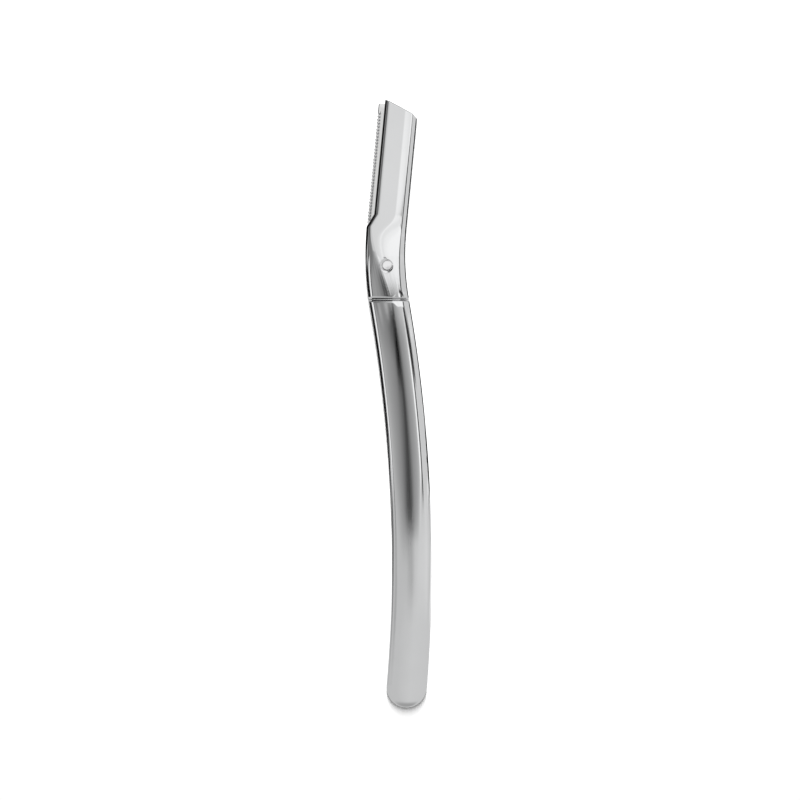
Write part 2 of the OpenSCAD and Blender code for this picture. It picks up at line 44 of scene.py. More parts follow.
# Sizes of the shells, in millimetres, the same as the solids'
BAR_W, BAR_T = 9.6, 5.3
HANDLE_L, BOW_R, BOW_Y = 98, 365, 63
END_T, END_WALL = 4.4, 2.2
BACK_R = 0.9
BEVEL_LEFT_W, BEVEL_RIGHT_W, BEVEL_H = 0.9, 1.6, 0.9
LEFT_FALL, RIGHT_FALL = math.tan(math.radians(10)), math.tan(math.radians(5))
GROOVE_W = 0.7
HEAD_TILT = math.radians(5.5)
PLATE_W, PLATE_T = 8.05, 4
WAIST_Y, WAIST_SHIFT = 11, 0.85
NOTCH_Y, SHOULDER_SLANT = 20.5, math.radians(32)
PLATE_L, TIP_RAKE, TIP_CORNER = 27.7, math.radians(21), 1.05
PLATE_BEVEL_LEFT_W, PLATE_BEVEL_RIGHT_W = 0.72, 1.08
BAND_W, BAND_FALL = 2.9, math.tan(math.radians(4))
COVER_T = 1.2
BLADE_SEAT, BLADE_T = 2.1, 0.25
GUARD_T, SPINE_SIDE_SHARE, SPINE_W, SPINE_T = 0.15, 0.51, 2.3, 1.0
BUTTON_X, BUTTON_Y, BUTTON_R, BUTTON_RECESS, BUTTON_TRAVEL = -0.4, 8.1, 1.25, 0.3, 0.4
FLANGE_LIP, FLANGE_T, STEM_R, POCKET_SKIN = 0.35, 0.35, 0.5, 1.2
LEVER_ARM, LEVER_TAIL, LEVER_W, LEVER_T = 5.5, 1.5, 2.2, 0.7
PAD_H, PAD_L, PAD_TIP_T, BOSS_WALL, PIN_R, PIN_SEAT = 0.25, 2.3, 0.68, 0.45, 0.5, 1.6
LEAF_T, LEAF_W, LEAF_BEND_R = 0.2, 1.8, 0.15
RING_HALF = 0.16
TANG_W, TANG_T, TANG_DOWN, TANG_UP = 4.6, 2.4, 16, 4.4
DOWEL_R, DOWEL_IN, DOWEL_SHARES = 0.75, 0.7, (0.3, 0.75)
SCREW_R, SCREW_HEAD_R, SCREW_L, NECK_SCREW_IN, PLATE_SCREW_SHARES = 0.7, 1.2, 3.1, 2.1, (0.04, 0.76)
SLIDE_PLAY, TURN_PLAY, SEAT_PLAY, CLAMP_PLAY, STEM_PLAY, LEVER_ROOM = 0.05, 0.05, 0.03, 0.02, 0.05, 0.15
OVER, FAR = 2, 90   # how far a cutter stands out of the metal, a little and beyond everything

# Shares that shape the face, the same as the solids'
RIDGE_SEAM, RIDGE_PLATE, RIDGE_BOW, RIDGE_EASE = 0.65, 0.06, 0.5, 0.7
CROWN_SEAM = 0.35
FADE_FROM, FADE_TO = 0.4, 0.82
FALL_START = 0.51
# What only the eye needs of it: a fuller crown on the neck, and the bend of the band's line
CROWN_NECK = 0.85
BAND_WIDEST, BAND_BEND_Y, BAND_BEND_POWER = 6.2, 16, 1.8
BAND_SOFT, BAND_SAMPLES = 1.3, (-1, -0.5, 0, 0.5, 1)

# Turns of a ring around the edge of the back, in degrees
BACK_ARC = (0, 12, 24, 36, 48, 60, 72, 84, 90)
# Number of rings along the round end, the neck, the shoulder and the plate
END_RINGS, NECK_RINGS, SHOULDER_RINGS, PLATE_RINGS = 26, 26, 14, 24
# Places of the rings beside the groove, and the step between the rings further down the handle
GROOVE_STEPS = [0, 0.006, 0.02, 0.045, 0.08, 0.14, 0.2, 0.35, 0.5,
                0.7, 0.9, 1.1, 1.3, 1.5, 1.7, 1.9, 2.2, 2.5]
RING_STEP = 0.6
LEVEL_L = 9                     # below the groove the rings turn from level to square over this length
END_TURN = math.radians(89.4)   # turn of the last ring of the round end
SHOULDER_LEAD = 1               # the shoulder's closer rings start this far below it
# Rings of the rounded tip: how far back from the raked end, and how far drawn in, as shares of TIP_R
TIP_STEPS = ((1.3, 0), (1, 0.03), (0.8, 0.16), (0.16, 0.8), (0.03, 1), (0, 1.2))
# Points across the face: the steps around a line, which may take 1 / LINE_ROOM of the gap beside it, the
# number of points between two lines, and the number of steps beside a side wall
LINE_STEPS = (-3.2, -1.9, -1.1, -0.5, 0, 0.5, 1.1, 1.9, 3.2)
LINE_ROOM, BETWEEN_LINES, SIDE_STEPS = 2.2, 7, 10
TURN_STEPS = 4                  # steps of a rounded turn
# Sides of a round piece and of a round cutter
ROUND_SIDES, CUTTER_SIDES = 96, 64

# Roundings that only the eye needs
LINE_R = 0.15        # of the lines between face and bevels
PLATE_LINE_R = 0.2   # of the plate's left line
BAND_R = 0.9         # of the band's line on handle and neck
RIDGE_R = 0.16       # of the ridge
EDGE_W = 0.28        # of the broken edge between bevel and side wall
EDGE_RISE = math.tan(math.radians(50))
EDGE_FROM, EDGE_TO = 0.2, 0.75           # where its turns end on its slant, as shares
EDGE_ON_WALL, EDGE_ON_FACE = 0.4, 1.4    # where they end on wall and face, in its widths
WALL_SHARES = (0.2, 0.6)                 # heights of the points on a plain wall
ROLL_H = 0.12        # drop of the face towards the groove
ROLL_LEFT_L, ROLL_RIGHT_L = 0.35, 1.9    # its lengths, left and right of the bar
ROLL_SHARE, ROLL_TURN_W = 0.58, 1.2      # where the first runs into the second, and over which width
PART_GROOVE = 0.05   # depth of the line where front and back shell meet
PART_HALF = 1.2 * PART_GROOVE
TIP_R = 0.2          # around the raked tip
LIP_ROUND = 0.14     # around both sides of the groove
RIM_R = 0.08         # of the button's rim
CROWN_H = 0.01       # rise of the button's top
STEM_EDGE, FLANGE_EDGE = 0.06, 0.05    # broken edges of its stem and its flange
SINK_RISE = math.tan(math.radians(38))   # of the countersink
SINK_EDGE = 0.06     # where its lip starts, before its edge
SINK_LIP = ((0, -0.02), (0.05, 0.01), (0.12, 0.05), (0.9, OVER))   # the lip, out from that edge and up
SEAT_EDGE, SCREW_RIM = 0.06, 0.05      # broken edge of a screw's seat, and its straight rim
WELD, SOLID_WELD = 1e-5, 1e-4          # points closer than this become one, here and in the solids
FLAT_TURN = math.radians(0.5)          # the solids' faces that turn less than this become one
BEVEL_TURN = math.radians(35)          # their edges that turn more than this are broken
WORN_TURN = 4        # turn of the surface, in radians per mm, that wears the most
WORN_SPAN = 0.02     # least length that a turn is taken over
WORN_REACH = 0.3     # how far the wear runs into a flat beside it

HALF_W = BAR_W / 2
SEAM = Vector((math.sqrt(BOW_R ** 2 - BOW_Y ** 2) - BOW_R, BOW_Y))
SEAM_LEAN = math.asin(BOW_Y / BOW_R)
SEAM_HALF = HALF_W / math.cos(SEAM_LEAN)
END_LEAN = math.asin((HANDLE_L - HALF_W - BOW_Y) / BOW_R)
WAIST_LEFT, WAIST_RIGHT = -WAIST_SHIFT - HALF_W, HALF_W - WAIST_SHIFT


def side_radius(step_in):
    """Radius of a neck arc that moves in by a step between the seam and the waist."""
    return (WAIST_Y ** 2 + step_in ** 2) / (2 * step_in)


LEFT_R = side_radius(-WAIST_LEFT - SEAM_HALF)
RIGHT_R = side_radius(SEAM_HALF - WAIST_RIGHT)
TURN = Vector((WAIST_RIGHT + RIGHT_R * (1 - math.cos(HEAD_TILT)), WAIST_Y + RIGHT_R * math.sin(HEAD_TILT)))
FOOT = TURN + PLATE_W * Vector((-math.cos(HEAD_TILT), math.sin(HEAD_TILT)))
NOTCH_V = (NOTCH_Y - FOOT.y) / math.cos(HEAD_TILT)
NOTCH_X = FOOT.x + NOTCH_V * math.sin(HEAD_TILT)
TIP_V = NOTCH_V + PLATE_L
ALONG_PLATE = Vector((math.sin(HEAD_TILT), math.cos(HEAD_TILT)))

# Heights and places inside the head, as in the solids
BLADE_V = NOTCH_V - BLADE_SEAT
GUARD_H = BLADE_T + 2 * GUARD_T
SPINE_U = PLATE_W * SPINE_SIDE_SHARE
SPINE_IN = SPINE_U - SPINE_W
BLADE_Z = COVER_T + SLIDE_PLAY + SPINE_T / 2
SPINE_TOP = BLADE_Z + SPINE_T / 2
PIVOT_Y, LEVER_Y = BUTTON_Y + LEVER_ARM, BUTTON_Y - LEVER_TAIL
LEVER_BOTTOM = SPINE_TOP + CLAMP_PLAY + PAD_H
LEVER_TOP = LEVER_BOTTOM + LEVER_T
PIVOT_Z = (LEVER_BOTTOM + LEVER_TOP) / 2
BOSS_R = PIN_R + TURN_PLAY + BOSS_WALL
PAD_Y = FOOT.y - (BUTTON_X - FOOT.x) * math.tan(HEAD_TILT) + BLADE_V / math.cos(HEAD_TILT) + LEVER_ROOM
LEVER_END = PAD_Y + PAD_L
LEVER_BEND = (PIVOT_Y + BOSS_R + PAD_Y) / 2
PAD_TIP_Z = SPINE_TOP + CLAMP_PLAY + PAD_TIP_T
ROCK = BUTTON_TRAVEL / LEVER_ARM
POCKET_TOP = BAR_T - POCKET_SKIN
LOW_POCKET_TOP = LEVER_ROOM + max(LEVER_TOP + ROCK * (LEVER_BEND - PIVOT_Y),
                                  PAD_TIP_Z + ROCK * (LEVER_END - PIVOT_Y))
POCKET_HALF = LEVER_W / 2 + LEVER_ROOM
FLANGE_R = BUTTON_R + FLANGE_LIP
FLANGE_Z = POCKET_TOP - STEM_PLAY - FLANGE_T
LEAF_Z = COVER_T - LEAF_T
LEAF_END = PIVOT_Y - BOSS_R - LEAF_BEND_R - LEAF_T
TANG_TOP = COVER_T + SEAT_PLAY + TANG_T
TANG_SEAT_HALF = TANG_W / 2 + SEAT_PLAY
DOWEL_TOP = TANG_TOP + DOWEL_IN


def mix(a, b, t):
    """The value at a share t of the way from a to b."""
    return a + (b - a) * t


def ease(t):
    """A smooth rise from 0 at t = 0 to 1 at t = 1."""
    t = min(max(t, 0), 1)
    return t * t * (3 - 2 * t)


def soft(t, radius):
    """Zero below 0 and t above it, with a rounded turn."""
    return (t + math.sqrt(t * t + radius * radius)) / 2


def left_arc(y):
    """X of the neck's left side at a distance y from the seam."""
    return WAIST_LEFT + LEFT_R - math.sqrt(LEFT_R ** 2 - (y - WAIST_Y) ** 2)


def right_arc(y):
    """X of the neck's right side at a distance y from the seam."""
    return WAIST_RIGHT + RIGHT_R - math.sqrt(RIGHT_R ** 2 - (y - WAIST_Y) ** 2)


def shoulder_foot():
    """Distance from the seam at which the slanted shoulder meets the neck's left arc."""
    y = NOTCH_Y
    for _ in range(20):
        y = NOTCH_Y - (NOTCH_X - left_arc(y)) / math.tan(SHOULDER_SLANT)
    return y


SHOULDER_Y = shoulder_foot()


def head_edges(y):
    """X of both sides of the head, at a distance y from the seam."""
    left = left_arc(y) if y < SHOULDER_Y else NOTCH_X - (NOTCH_Y - y) * math.tan(SHOULDER_SLANT)
    right = right_arc(y) if y < TURN.y else TURN.x + (y - TURN.y) * math.tan(HEAD_TILT)
    return left, right


def head_fall(y):
    """How far the neck's face has come down to the plate's, as a share."""
    return ease((y / NOTCH_Y - FALL_START) / (1 - FALL_START))


def button_top():
    """Height of the button's top, a recess below the face beside it."""
    left, right = head_edges(BUTTON_Y)
    a, b = left + BEVEL_LEFT_W, right - mix(BEVEL_RIGHT_W, PLATE_BEVEL_RIGHT_W, ease(BUTTON_Y / NOTCH_Y))
    t = BUTTON_Y / SHOULDER_Y
    at_ridge = mix(a, b, mix(RIDGE_SEAM, RIDGE_PLATE, mix(t, ease(t), RIDGE_EASE)))
    step, side, fall = ((at_ridge - BUTTON_X, at_ridge - a, LEFT_FALL) if BUTTON_X < at_ridge
                        else (BUTTON_X - at_ridge, b - at_ridge, RIGHT_FALL))
    return BAR_T - fall * step * mix(1, step / side, CROWN_SEAM) - BUTTON_RECESS


BUTTON_TOP = button_top()


def spread(a, b, count):
    """Inner points between a and b, without the ends."""
    return [mix(a, b, (i + 1) / (count + 1)) for i in range(count)]


def stations(lines, low, high):
    """Places across the face: close together at each line and at the sides, and wide apart between."""
    stops = [low] + list(lines) + [high]
    groups = []
    for i, line in enumerate(lines):
        room = min(line - stops[i], stops[i + 2] - line) / LINE_ROOM
        reach = min(LINE_R, room / LINE_STEPS[-1])
        groups.append([line + reach * step for step in LINE_STEPS])
    side = [(i / SIDE_STEPS) ** 2 for i in range(1, SIDE_STEPS)]
    out = [mix(low, groups[0][0], share) for share in side]
    for group, following in zip(groups, groups[1:]):
        out += group + spread(group[-1], following[0], BETWEEN_LINES)
    return out + groups[-1] + [mix(high, groups[-1][-1], share) for share in reversed(side)]


def rounded(before, corner, after):
    """Points of a smooth turn between two points, drawn towards the corner."""
    return [tuple(mix(mix(a, c, t), mix(c, b, t), t) for a, c, b in zip(before, corner, after))
            for t in (i / TURN_STEPS for i in range(TURN_STEPS + 1))]


def profile(edges, bevels, ridge, top, slopes, crown, band, fade,
            band_w=BAND_W, radii=(LINE_R, BAND_R), parting=False):
    """Closed section as (x, z) points: left edge of the back, left wall, face, right wall, right edge."""
    left, right = edges
    mid, half = (left + right) / 2, (right - left) / 2
    a, b = left + bevels[0], right - bevels[1]
    at_ridge, at_band = mix(a, b, ridge), right - band_w
    bevel_slopes = [BEVEL_H / bevels[0] - slopes[0] * (1 + crown),
                    BEVEL_H / bevels[1] - slopes[1] * (1 + crown) - band]

    def height(x):
        """Height of the face, which fades into the round end's dome."""
        to_left, to_right = soft(at_ridge - x, RIDGE_R), soft(x - at_ridge, RIDGE_R)
        z = (top - slopes[0] * to_left * mix(1, to_left / (at_ridge - a), crown)
             - slopes[1] * to_right * mix(1, to_right / (b - at_ridge), crown)
             - band * soft(x - at_band, radii[1])
             - bevel_slopes[0] * soft(a - x, radii[0]) - bevel_slopes[1] * soft(x - b, LINE_R))
        dome = END_WALL + (top - END_WALL) * math.sqrt(max(1 - ((x - mid) / half) ** 2, 0))
        return mix(z, dome, fade)

    def wall(x, toward):
        """A side wall from the back's edge to the face, with its upper edge broken and both turns rounded."""
        inner, inside = (x + toward * w * (1 - fade) for w in (EDGE_W, EDGE_W * EDGE_ON_FACE))
        rim = mix(height(inner), END_WALL, fade)
        corner = rim - EDGE_W * EDGE_RISE
        foot = corner - EDGE_W * EDGE_ON_WALL

        def slant(share):
            return mix(x, inner, share), mix(corner, rim, share)

        if parting:
            low = [(x, COVER_T - PART_HALF), (x + toward * PART_GROOVE, COVER_T), (x, COVER_T + PART_HALF)]
        else:
            low = [(x, mix(BACK_R, foot, share)) for share in WALL_SHARES]
        on_face = (inside, mix(height(inside), END_WALL, fade))
        return (low + rounded((x, foot), (x, corner), slant(EDGE_FROM))
                + rounded(slant(EDGE_TO), (inner, rim), on_face))

    left_wall = wall(left, 1)
    right_wall = wall(right, -1)[::-1]
    face = stations([a, at_ridge, at_band, b], left_wall[-1][0], right_wall[0][0])
    arc = [math.radians(d) for d in BACK_ARC]
    return ([(left + BACK_R * (1 - math.sin(t)), BACK_R * (1 - math.cos(t))) for t in arc]
            + left_wall + [(x, height(x)) for x in face] + right_wall
            + [(right - BACK_R * (1 - math.sin(t)), BACK_R * (1 - math.cos(t))) for t in reversed(arc)])


# Rings in space, and how the ends round off

def inset(points, d):
    """The section drawn in by d at its sides, top and bottom."""
    low, high = min(p[0] for p in points), max(p[0] for p in points)
    top = max(p[1] for p in points)
    mid = (low + high) / 2
    return [(mid + (x - mid) * (1 - 2 * d / (high - low)), d + z * (1 - 2 * d / top)) for x, z in points]


def roll_length(x):
    """Length of the roll-off beside the groove: short left of the ridge and long right of it."""
    return mix(ROLL_LEFT_L, ROLL_RIGHT_L, ease((x - mix(-HALF_W, HALF_W, ROLL_SHARE)) / ROLL_TURN_W))


def near_groove(points, d):
    """The section at a distance d from its end at the groove: its face rolls off, its very end is round."""
    rolled = []
    for x, z in points:
        share = max(1 - d / roll_length(x), 0)
        rolled.append((x, z - ROLL_H * share ** 2 * ease((z - BACK_R) / (BAR_T - BACK_R))))
    if d < LIP_ROUND:
        rolled = inset(rolled, LIP_ROUND - math.sqrt(LIP_ROUND ** 2 - (LIP_ROUND - d) ** 2))
    return rolled


def handle_profile(s):
    """Section of the handle, from s = 0 at the seam to s = 1 where the round end starts."""
    bow = min(s * (HANDLE_L - HALF_W) / BOW_Y, 1)
    return profile((-HALF_W, HALF_W), (BEVEL_LEFT_W, BEVEL_RIGHT_W), mix(RIDGE_SEAM, RIDGE_BOW, bow),
                   mix(BAR_T, END_T, ease(s)), (LEFT_FALL, RIGHT_FALL), mix(CROWN_SEAM, 1, bow),
                   BAND_FALL * (1 - bow), ease((s - FADE_FROM) / (FADE_TO - FADE_FROM)))


def bow_point(x, z, lean, level, along=0):
    """A point beside the bow's arc. level turns the ring from square to the bow to level across it."""
    angle = mix(lean, math.asin(BOW_R * math.sin(lean) / (BOW_R + x)), level)
    return ((BOW_R + x) * math.cos(angle) - along * math.sin(angle) - BOW_R,
            (BOW_R + x) * math.sin(angle) + along * math.cos(angle), z)


def handle_rings():
    """Rings of the handle from the groove down the bow, and around the round end."""
    top = BOW_Y - GROOVE_W / 2
    bar_l = HANDLE_L - HALF_W
    start = GROOVE_STEPS[-1]
    down = GROOVE_STEPS + [start + i * RING_STEP for i in range(1, int((bar_l - start) / RING_STEP))]
    rings = []
    for d in down + [bar_l - GROOVE_W / 2]:
        y = top - d
        lean = math.asin(y / BOW_R)
        level = ease(1 - d / LEVEL_L)
        points = near_groove(handle_profile(min(max((BOW_Y - y) / bar_l, 0), 1)), d)
        rings.append([bow_point(x, z, lean, level) for x, z in points])
    flat = handle_profile(1)
    arc = len(BACK_ARC)
    for i in range(1, END_RINGS + 1):
        q = math.sin(END_TURN * i / END_RINGS)
        ring = []
        for j, (x, z) in enumerate(flat):
            across = x * math.sqrt(1 - q * q)
            depth = max(HALF_W - math.hypot(across, HALF_W * q), 0)
            if j < arc or j >= len(flat) - arc:
                z = BACK_R - math.sqrt(BACK_R ** 2 - (BACK_R - depth) ** 2) if depth < BACK_R else 0
            elif abs(x) < HALF_W - 1e-6:
                z = END_WALL + (END_T - END_WALL) * math.sqrt(max(1 - (1 - depth / HALF_W) ** 2, 0))
            ring.append(bow_point(across, z, -END_LEAN, 0, -HALF_W * q))
        rings.append(ring)
    return rings


def band_bend(y):
    """How far the band's line bends to the left, with a sharp turn where it lies furthest out."""
    if y < BAND_BEND_Y:
        return ease(y / BAND_BEND_Y)
    return max(1 - (y - BAND_BEND_Y) / (NOTCH_Y - BAND_BEND_Y), 0) ** BAND_BEND_POWER


def band_swell(y):
    """The bend with its sharp turn evened out: the mean of samples around y."""
    return sum(band_bend(y + BAND_SOFT * step) for step in BAND_SAMPLES) / len(BAND_SAMPLES)


def head_profile(y):
    """Section of the head at a distance y from the seam."""
    fall = head_fall(y)
    t = min(y / SHOULDER_Y, 1)
    return profile(head_edges(y), (mix(BEVEL_LEFT_W, PLATE_BEVEL_LEFT_W, fall),
                                   mix(BEVEL_RIGHT_W, PLATE_BEVEL_RIGHT_W, ease(y / NOTCH_Y))),
                   mix(RIDGE_SEAM, RIDGE_PLATE, mix(t, ease(t), RIDGE_EASE)), mix(BAR_T, PLATE_T, fall),
                   ((1 - fall) * LEFT_FALL, (1 - fall) * RIGHT_FALL), CROWN_NECK, BAND_FALL, 0,
                   mix(BAND_W, BAND_WIDEST, band_swell(y)),
                   (mix(LINE_R, PLATE_LINE_R, fall), mix(BAND_R, LINE_R, fall)), parting=True)


def tip_reach(w):
    """Length from the notch's level to the raked tip, at a level distance w from the plate's left edge."""
    u = w * math.cos(HEAD_TILT)
    corner_u = PLATE_W - TIP_CORNER
    end = TIP_V - min(u, corner_u) * math.tan(TIP_RAKE) - max(u - corner_u, 0)
    return end - NOTCH_V - w * math.sin(HEAD_TILT)


def head_rings():
    """Rings of the whole head from the groove to the rounded, raked tip."""
    gap = GROOVE_W / 2
    neck_end = SHOULDER_Y - SHOULDER_LEAD
    ys = [gap + d for d in GROOVE_STEPS]
    ys += [mix(ys[-1], neck_end, (i + 1) / NECK_RINGS) for i in range(NECK_RINGS)]
    ys += [mix(neck_end, NOTCH_Y, (i + 1) / SHOULDER_RINGS) for i in range(SHOULDER_RINGS)]
    rings = []
    for y in ys:
        points = near_groove(head_profile(y), y - gap)
        rings.append([(SEAM.x + x, SEAM.y + y, z) for x, z in points])
    base = head_profile(NOTCH_Y)
    left = head_edges(NOTCH_Y)[0]
    steps = [((i + 1) / PLATE_RINGS, TIP_R * 2, 0) for i in range(PLATE_RINGS)]
    steps += [(1, TIP_R * back, TIP_R * drawn) for back, drawn in TIP_STEPS]
    for share, back, d in steps:
        ring = []
        for (x, _), (x_in, z) in zip(base, inset(base, d) if d else base):
            place = (tip_reach(x - left) - back) * share
            ring.append((SEAM.x + x_in + place * ALONG_PLATE.x, SEAM.y + NOTCH_Y + place * ALONG_PLATE.y, z))
        rings.append(ring)
    return rings


# Meshes, built in millimetres and scaled at the end

def placed(name, data):
    """A new object of the scene."""
    thing = bpy.data.objects.new(name, data)
    bpy.context.scene.collection.objects.link(thing)
    return thing


def linked(name, shape):
    """A scene object from a bmesh, with outward normals."""
    bmesh.ops.remove_doubles(shape, verts=shape.verts, dist=WELD)
    bmesh.ops.recalc_face_normals(shape, faces=shape.faces)
    mesh = bpy.data.meshes.new(name)
    shape.to_mesh(mesh)
    shape.free()
    return placed(name, mesh)


def skin(name, rings, frame_matrix=None):
    """Closed skin over rings of points."""
    n = len(rings[0])
    shape = bmesh.new()
    rows = [[shape.verts.new(p) for p in ring] for ring in rings]
    for low, high in zip(rows, rows[1:]):
        for j in range(n):
            shape.faces.new((low[j], low[(j + 1) % n], high[(j + 1) % n], high[j]))
    shape.faces.new(rows[0][::-1])
    shape.faces.new(rows[-1])
    if frame_matrix:
        bmesh.ops.transform(shape, matrix=frame_matrix, verts=shape.verts)
    return linked(name, shape)


def turned(name, outline, frame_matrix, sides=ROUND_SIDES):
    """Body of revolution around the frame's Z from (radius, height) points, with flats at both ends."""
    angles = [2 * math.pi * k / sides for k in range(sides)]
    rings = [[(r * math.cos(t), r * math.sin(t), z) for t in angles] for r, z in outline]
    return skin(name, rings, frame_matrix)


def drill(r, low, high, frame_matrix):
    """A round cutter along the frame's Z."""
    return turned("cutter", [(r, low), (r, high)], frame_matrix, CUTTER_SIDES)


def block(low, high, frame_matrix):
    """A cutter between two corners."""
    shape = bmesh.new()
    bmesh.ops.create_cube(shape, size=1)
    for v in shape.verts:
        v.co = Vector([mix(a, b, c + 0.5) for a, b, c in zip(low, high, v.co)])
    bmesh.ops.transform(shape, matrix=frame_matrix, verts=shape.verts)
    return linked("cutter", shape)


def applied(piece):
    """Bakes the piece's modifiers into its mesh."""
    bpy.context.view_layer.update()
    baked = bpy.data.meshes.new_from_object(piece.evaluated_get(bpy.context.evaluated_depsgraph_get()))
    piece.modifiers.clear()
    piece.data = baked
    return piece


def carve(piece, cutters):
    """Cuts all the cutters out of the piece in one exact boolean, and removes them."""
    group = bpy.data.collections.new("cutters")
    bpy.context.scene.collection.children.link(group)
    for c in cutters:
        group.objects.link(c)
    cut = piece.modifiers.new("cut", "BOOLEAN")
    cut.operation, cut.solver, cut.operand_type, cut.collection = "DIFFERENCE", "EXACT", "COLLECTION", group
    applied(piece)
    for c in cutters:
        bpy.data.objects.remove(c)
    bpy.data.collections.remove(group)
    return piece


def wear_marks(shape):
    """Marks, per vertex, how tightly the surface turns there, which is where polish wears first."""
    layer = shape.verts.layers.float.new("edge")
    for edge in shape.edges:
        if len(edge.link_faces) != 2:
            continue
        a, b = edge.link_faces
        turn = a.normal.angle(b.normal, 0)
        span = max((a.calc_center_median() - b.calc_center_median()).length, WORN_SPAN)
        mark = min(turn / span / WORN_TURN, 1)
        for v in edge.verts:
            v[layer] = max(v[layer], mark)
    for v in shape.verts:
        width = max((f.calc_area() / max(e.calc_length() for e in f.edges) for f in v.link_faces), default=0)
        v[layer] *= min(WORN_REACH / max(width, WORN_REACH), 1) ** 2


def finished(piece, body, material, slot, *nodes, sharp_deg=32):
    """Scales a piece to metres, shades it, gives it its material and body, and hides the nodes it stands for;
    its slot is not used.
    """
    shape = bmesh.new()
    shape.from_mesh(piece.data)
    bmesh.ops.remove_doubles(shape, verts=shape.verts, dist=WELD)
    bmesh.ops.recalc_face_normals(shape, faces=shape.faces)
    wear_marks(shape)
    bmesh.ops.scale(shape, vec=(MM, MM, MM), verts=shape.verts)
    shape.to_mesh(piece.data)
    shape.free()
    mesh = piece.data
    mesh.polygons.foreach_set("use_smooth", [True] * len(mesh.polygons))
    mesh.set_sharp_from_angle(angle=math.radians(sharp_deg))
    mesh.materials.clear()
    mesh.materials.append(material)
    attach(piece, body)
    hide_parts(*nodes)
    return piece


def dressed(name, node, body, material, slot, width, segments=2):
    """A copy of a node's own solid with its edges broken by a small bevel."""
    shape = bmesh.new()
    shape.from_mesh(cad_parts[node].data)
    bmesh.ops.scale(shape, vec=(1 / MM, 1 / MM, 1 / MM), verts=shape.verts)
    bmesh.ops.remove_doubles(shape, verts=shape.verts, dist=SOLID_WELD)
    bmesh.ops.dissolve_limit(shape, angle_limit=FLAT_TURN, verts=shape.verts, edges=shape.edges)
    piece = linked(name, shape)
    bevel = piece.modifiers.new("edges", "BEVEL")
    bevel.width, bevel.segments, bevel.limit_method = width, segments, "ANGLE"
    bevel.angle_limit = BEVEL_TURN
    return finished(applied(piece), body, material, slot, node, sharp_deg=20)


# Frames of the head's pieces, in millimetres

AT_SEAM = Matrix.Translation((SEAM.x, SEAM.y, 0))
ON_PLATE = AT_SEAM @ Matrix.Translation((FOOT.x, FOOT.y, 0)) @ Matrix.Rotation(-HEAD_TILT, 4, "Z")
ALONG_TANG = AT_SEAM @ Matrix.Rotation(SEAM_LEAN, 4, "Z")
AT_LEVER = AT_SEAM @ Matrix.Translation((BUTTON_X, 0, 0))
AT_BUTTON = AT_SEAM @ Matrix.Translation((BUTTON_X, BUTTON_Y, 0))


def screw_frames():
    """Where the cover's screws stand: in the tang, beside the lever and along the plate."""
    frames = [ALONG_TANG @ Matrix.Translation((0, (GROOVE_W / 2 + TANG_UP) / 2, 0)),
              AT_SEAM @ Matrix.Translation((WAIST_LEFT + NECK_SCREW_IN, WAIST_Y, 0))]
    return frames + [ON_PLATE @ Matrix.Translation(((SPINE_U + PLATE_W) / 2, NOTCH_V + PLATE_L * share, 0))
                     for share in PLATE_SCREW_SHARES]


def build_handle():
    """The handle with the tang's seat and the dowels' bores."""
    shell = skin("handle_shell", handle_rings())
    cutters = [block((-TANG_SEAT_HALF, -TANG_DOWN - SEAT_PLAY, COVER_T),
                     (TANG_SEAT_HALF, OVER, TANG_TOP + SEAT_PLAY), ALONG_TANG)]
    for share in DOWEL_SHARES:
        at = ALONG_TANG @ Matrix.Translation((0, -TANG_DOWN * share, 0))
        cutters.append(drill(DOWEL_R + SEAT_PLAY, -OVER, DOWEL_TOP + SEAT_PLAY, at))
    return carve(shell, cutters)


def button_bore():
    """The button's bore, with its countersink and a softened lip."""
    bore = BUTTON_R + TURN_PLAY
    rim = bore + BUTTON_RECESS / SINK_RISE
    face = BUTTON_TOP + BUTTON_RECESS
    outline = [(bore, COVER_T), (bore, BUTTON_TOP), (rim - SINK_EDGE, face - SINK_EDGE * SINK_RISE)]
    outline += [(rim + out, face + up) for out, up in SINK_LIP]
    return turned("cutter", outline, AT_BUTTON)


def build_head_front():
    """The front shell with the cartridge's slot, the lever's pocket and the bores."""
    shell = skin("head_front_shell", head_rings())
    low, slot_start = COVER_T - OVER, BLADE_V - SEAT_PLAY
    pin_at = (BUTTON_X - POCKET_HALF - PIN_SEAT - SEAT_PLAY, PIVOT_Y, PIVOT_Z)
    pin_frame = AT_SEAM @ Matrix.Translation(pin_at) @ Matrix.Rotation(math.pi / 2, 4, "Y")
    return carve(shell, [
        block((-FAR, -FAR, -OVER), (FAR, FAR, COVER_T), AT_SEAM),
        block((-FAR, slot_start, low), (SPINE_IN, FAR, BLADE_Z + GUARD_H / 2 + SLIDE_PLAY), ON_PLATE),
        block((SPINE_IN - SLIDE_PLAY, slot_start, low),
              (SPINE_U + SLIDE_PLAY, FAR, SPINE_TOP + SLIDE_PLAY), ON_PLATE),
        block((-POCKET_HALF, LEVER_Y - LEVER_ROOM, low),
              (POCKET_HALF, PIVOT_Y + BOSS_R + LEVER_ROOM, POCKET_TOP), AT_LEVER),
        block((-POCKET_HALF, PIVOT_Y, low), (POCKET_HALF, LEVER_END + LEVER_ROOM, LOW_POCKET_TOP), AT_LEVER),
        drill(FLANGE_R + LEVER_ROOM, low, POCKET_TOP, AT_BUTTON),
        button_bore(),
        block((-TANG_SEAT_HALF, -OVER, low),
              (TANG_SEAT_HALF, TANG_UP + SEAT_PLAY, TANG_TOP + SEAT_PLAY), ALONG_TANG),
        drill(PIN_R + SEAT_PLAY, 0, BAR_W + OVER, pin_frame),
        *[drill(SCREW_R + SEAT_PLAY, low, SCREW_L + SEAT_PLAY, at) for at in screw_frames()]])


